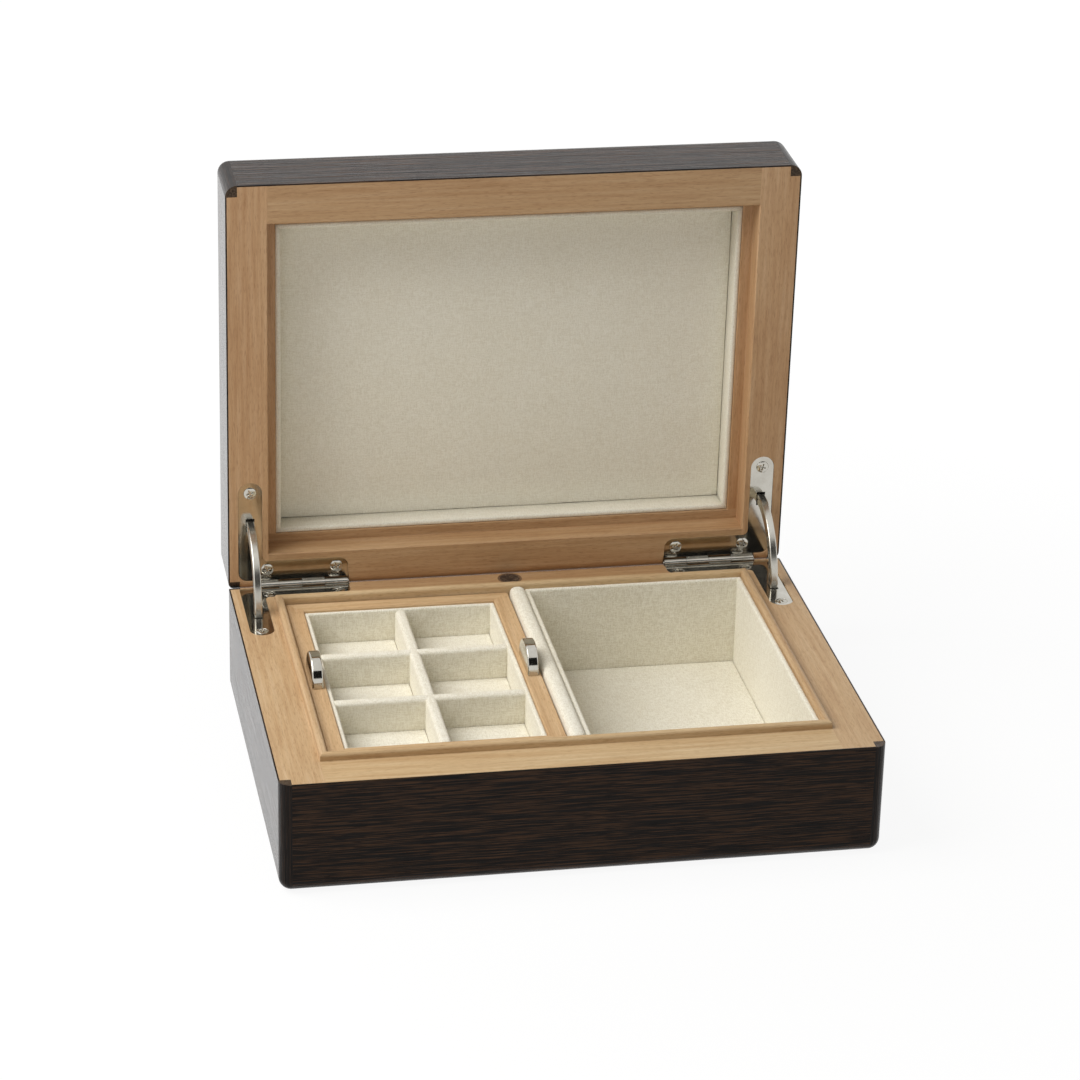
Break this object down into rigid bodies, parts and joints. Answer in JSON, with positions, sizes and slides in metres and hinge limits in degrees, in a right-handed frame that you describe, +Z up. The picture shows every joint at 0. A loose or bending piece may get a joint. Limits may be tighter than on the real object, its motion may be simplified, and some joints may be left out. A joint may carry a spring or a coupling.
{
  "type": "cufflink box",
  "caption": "Veneered wooden case with a padded hinged lid on two curved-stay hinges, a lift-out tray of lined cells and a lined well.",
  "frame": {"origin": "middle of the underside of the felt that the box stands on", "axes": "+X to the box's right as seen from the front, +Y from the front to the hinge side, +Z up"},
  "size_m": [0.22, 0.1964, 0.2103],
  "materials": {
    "dark_veneer": "satin lacquered, dark straight grain",
    "light_wood": "satin lacquered, fine straight grain",
    "inlay_wood": "satin, flush with the rim",
    "cream_fabric": "fine brushed weave",
    "felt": "dense felt",
    "nickel": "polished"
  },
  "bodies": {
    "base": {"base_front_wall": "light_wood", "base_back_wall": "light_wood", "base_left_wall": "light_wood", "base_right_wall": "light_wood", "base_bottom_panel": "light_wood", "base_felt": "felt", "base_bottom_beads": "dark_veneer", "base_corner_beads": "dark_veneer", "base_front_veneer": "dark_veneer", "base_back_veneer": "dark_veneer", "base_left_veneer": "dark_veneer", "base_right_veneer": "dark_veneer", "lip_front": "light_wood", "lip_back": "light_wood", "lip_left": "light_wood", "lip_right": "light_wood", "rim_inlay": "inlay_wood", "padded_divider": "cream_fabric", "well_boards": "cream_fabric", "well_floor_pad": "cream_fabric", "tray_ledge_boards": "cream_fabric", "lower_floor_pad": "cream_fabric", "base_leaf_left": "nickel", "base_leaf_right": "nickel", "base_leaf_screws": "nickel", "hinge_pins": "nickel"},
    "lid": {"lid_front_rail": "light_wood", "lid_back_rail": "light_wood", "lid_left_rail": "light_wood", "lid_right_rail": "light_wood", "lid_core_panel": "light_wood", "lid_top_veneer": "dark_veneer", "lid_top_beads": "dark_veneer", "lid_corner_beads": "dark_veneer", "lid_front_veneer": "dark_veneer", "lid_back_veneer": "dark_veneer", "lid_left_veneer": "dark_veneer", "lid_right_veneer": "dark_veneer", "lid_lining_strips": "cream_fabric", "lid_lining_pad": "cream_fabric", "lid_leaf_left": "nickel", "lid_leaf_right": "nickel", "lid_leaf_screws": "nickel"},
    "tray": {"tray_front_rail": "light_wood", "tray_back_rail": "light_wood", "tray_left_rail": "light_wood", "tray_right_rail": "light_wood", "tray_floor": "light_wood", "tray_lining_boards": "cream_fabric", "tray_long_divider": "cream_fabric", "tray_cross_dividers": "cream_fabric", "tray_cell_pads": "cream_fabric", "tray_left_tab": "nickel", "tray_right_tab": "nickel"},
    "stay_left": {"stay_left": "nickel", "stay_left_studs": "nickel"},
    "stay_right": {"stay_right": "nickel", "stay_right_studs": "nickel"}
  },
  "joints": [
    {"name": "lid_hinge", "type": "hinge", "parent": "base", "child": "lid", "pos_m": [0, 0.0816, 0.0441], "axis": [-1, 0, 0], "range_deg": [-88.5, 0]},
    {"name": "stay_left_swing", "type": "hinge", "parent": "base", "child": "stay_left", "pos_m": [-0.10135, 0.0816, 0.0441], "axis": [-1, 0, 0], "range_deg": [-44.25, 0]},
    {"name": "stay_right_swing", "type": "hinge", "parent": "base", "child": "stay_right", "pos_m": [0.10135, 0.0816, 0.0441], "axis": [-1, 0, 0], "range_deg": [-44.25, 0]},
    {"name": "tray_lift", "type": "slide", "parent": "base", "child": "tray", "axis": [0, 0, 1], "range_m": [0, 0.06]}
  ],
  "couplings": [
    {"joint": "stay_left_swing", "follows": "lid_hinge", "ratio": 0.5},
    {"joint": "stay_right_swing", "follows": "lid_hinge", "ratio": 0.5}
  ]
}
